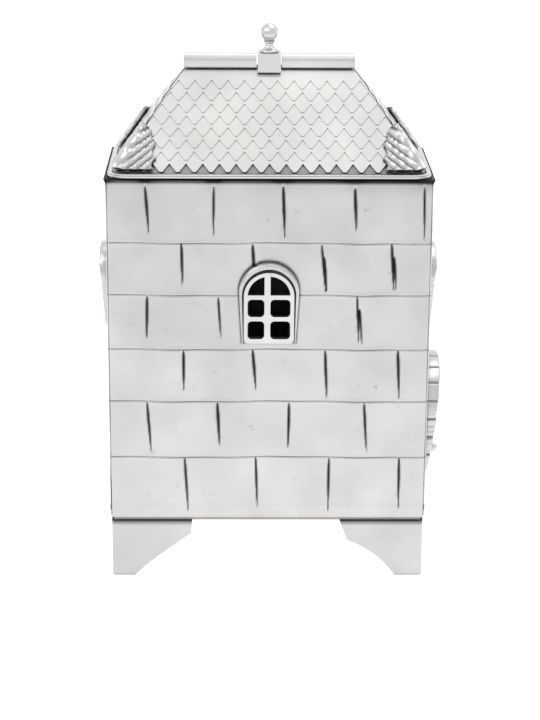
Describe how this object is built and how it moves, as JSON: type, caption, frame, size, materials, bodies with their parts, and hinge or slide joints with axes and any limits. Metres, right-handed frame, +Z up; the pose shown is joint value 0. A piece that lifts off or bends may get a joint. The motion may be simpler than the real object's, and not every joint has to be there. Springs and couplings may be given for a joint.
{
  "type": "tabernacle box",
  "caption": "Small silver house-shaped box with chased brick walls, arched windows with grilles, a hinged door under a hood, bracket feet and a hinged shingled hipped roof lid.",
  "frame": {"origin": "middle of the bounding box at the floor, under the four feet", "axes": "+Z up, the long wall with the plain window faces -Y (front), the wall with the door faces +X"},
  "size_m": [0.1086, 0.0566, 0.1735],
  "materials": {
    "polished_sheet": "polished silver sheet, hand-chased, darkened in the chased lines",
    "cast_silver": "cast silver, bright with a fine uneven surface, oxidised in the recesses",
    "roof_silver": "satin-bright silver, darkened between the shingles",
    "plain_silver": "plain silver, satin, slightly tarnished"
  },
  "bodies": {
    "box": {"base_plate": "plain_silver", "door_hinge_jamb_leaf_lower": "cast_silver", "door_hinge_jamb_leaf_upper": "cast_silver", "door_hinge_pin_lower": "plain_silver", "door_hinge_pin_upper": "plain_silver", "door_hood": "cast_silver", "foot_back_left": "cast_silver", "foot_back_right": "cast_silver", "foot_front_left": "cast_silver", "foot_front_right": "cast_silver", "lid_hinge_pin": "plain_silver", "lid_hinge_wall_leaf": "cast_silver", "top_ledge": "plain_silver", "wall_back": "polished_sheet", "wall_front": "polished_sheet", "wall_left": "polished_sheet", "wall_right": "polished_sheet", "window_grille_front": "cast_silver", "window_grille_left": "cast_silver", "window_grille_right": "cast_silver", "window_hood_front": "cast_silver", "window_hood_left": "cast_silver", "window_hood_right": "cast_silver"},
    "lid": {"corner_leaf_back_left": "cast_silver", "corner_leaf_back_right": "cast_silver", "corner_leaf_front_left": "cast_silver", "corner_leaf_front_right": "cast_silver", "finial": "cast_silver", "finial_nut": "plain_silver", "finial_plinth": "cast_silver", "lid_bezel": "plain_silver", "lid_hinge_lid_leaf": "cast_silver", "lid_rim": "roof_silver", "ridge_tile_left": "cast_silver", "ridge_tile_right": "cast_silver", "rim_band": "roof_silver", "roof_back": "roof_silver", "roof_front": "roof_silver", "roof_left": "roof_silver", "roof_right": "roof_silver", "shingles_back": "roof_silver", "shingles_front": "roof_silver", "shingles_left": "roof_silver", "shingles_right": "roof_silver"},
    "door": {"door_hinge_door_leaf_lower": "cast_silver", "door_hinge_door_leaf_upper": "cast_silver", "door_leaf": "polished_sheet"},
    "latch": {"door_knob": "cast_silver", "latch_tongue": "plain_silver"}
  },
  "joints": [
    {"name": "lid_hinge", "type": "hinge", "parent": "box", "child": "lid", "pos_m": [-0.00105, 0.0267, 0.13035], "axis": [-1, 0, 0], "range_deg": [0, 100]},
    {"name": "door_hinge", "type": "hinge", "parent": "box", "child": "door", "pos_m": [0.05025, 0.0114, 0.035], "axis": [0, 0, 1], "range_deg": [0, 90]},
    {"name": "latch_turn", "type": "hinge", "parent": "door", "child": "latch", "pos_m": [0.04895, -0.0058, 0.037], "axis": [-1, 0, 0], "range_deg": [0, 90]}
  ]
}
